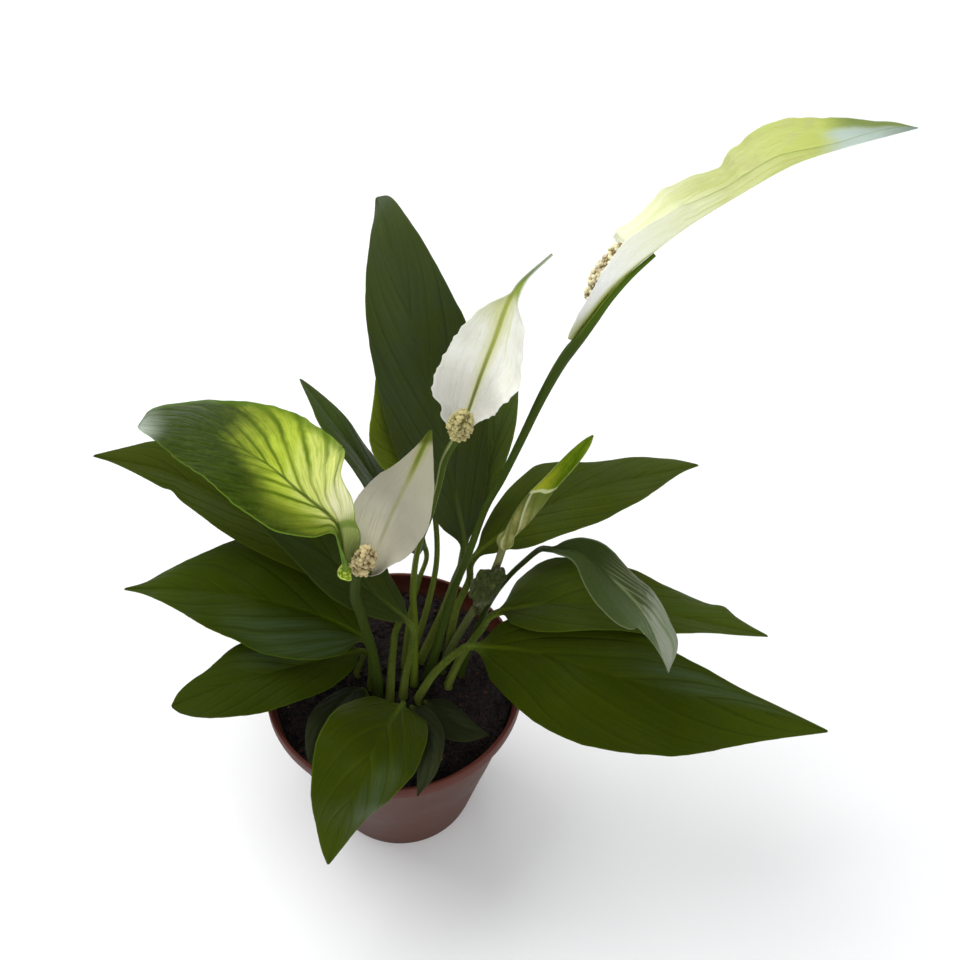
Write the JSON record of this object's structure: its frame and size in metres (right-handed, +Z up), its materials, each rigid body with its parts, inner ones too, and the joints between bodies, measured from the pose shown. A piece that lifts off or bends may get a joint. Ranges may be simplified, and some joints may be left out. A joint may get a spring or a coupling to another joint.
{
  "type": "potted peace lily",
  "caption": "Flowering peace lily in a round plastic nursery pot, with glossy pointed leaves, pale hooded spathes round knobbly spadices, a rolled bud and dark soil.",
  "frame": {"origin": "centre of the pot's underside, on the surface it stands on", "axes": "+Z up the pot's axis; seen from the front, looking along +Y, +X is to the right and the tall bloom leans towards +X"},
  "size_m": [0.3417, 0.1855, 0.3832],
  "materials": {
    "pot": "satin",
    "soil": "rough",
    "leaf": "satin gloss",
    "young_leaf": "satin",
    "stalk": "satin",
    "spathe": "matte",
    "green_spathe": "satin",
    "lime_spathe": "satin",
    "bud": "matte",
    "sheath": "matte",
    "spadix": "rough"
  },
  "bodies": {
    "root": {"pot": "pot", "soil": "soil", "leaf_tall_back": "leaf", "leaf_right_back": "leaf", "leaf_narrow_back": "leaf", "leaf_short_back": "leaf", "leaf_long_left": "leaf", "leaf_upper_left": "leaf", "leaf_mid_left": "leaf", "leaf_low_left": "leaf", "leaf_front": "leaf", "leaf_large_right": "leaf", "leaf_mid_right": "leaf", "leaf_young_drooping": "young_leaf", "leaf_upper_right": "leaf", "leaf_small_left": "leaf", "leaf_small_front": "leaf", "leaf_small_right": "leaf", "stalk_front": "stalk", "spathe_front": "spathe", "spathe_front_leafy": "green_spathe", "spadix_front": "spadix", "stalk_centre": "stalk", "spathe_centre": "spathe", "spadix_centre": "spadix", "stalk_tall": "stalk", "spathe_tall": "lime_spathe", "spadix_tall": "spadix", "stalk_bud": "stalk", "bud": "bud", "sheath_bud": "sheath"}
  },
  "joints": []
}
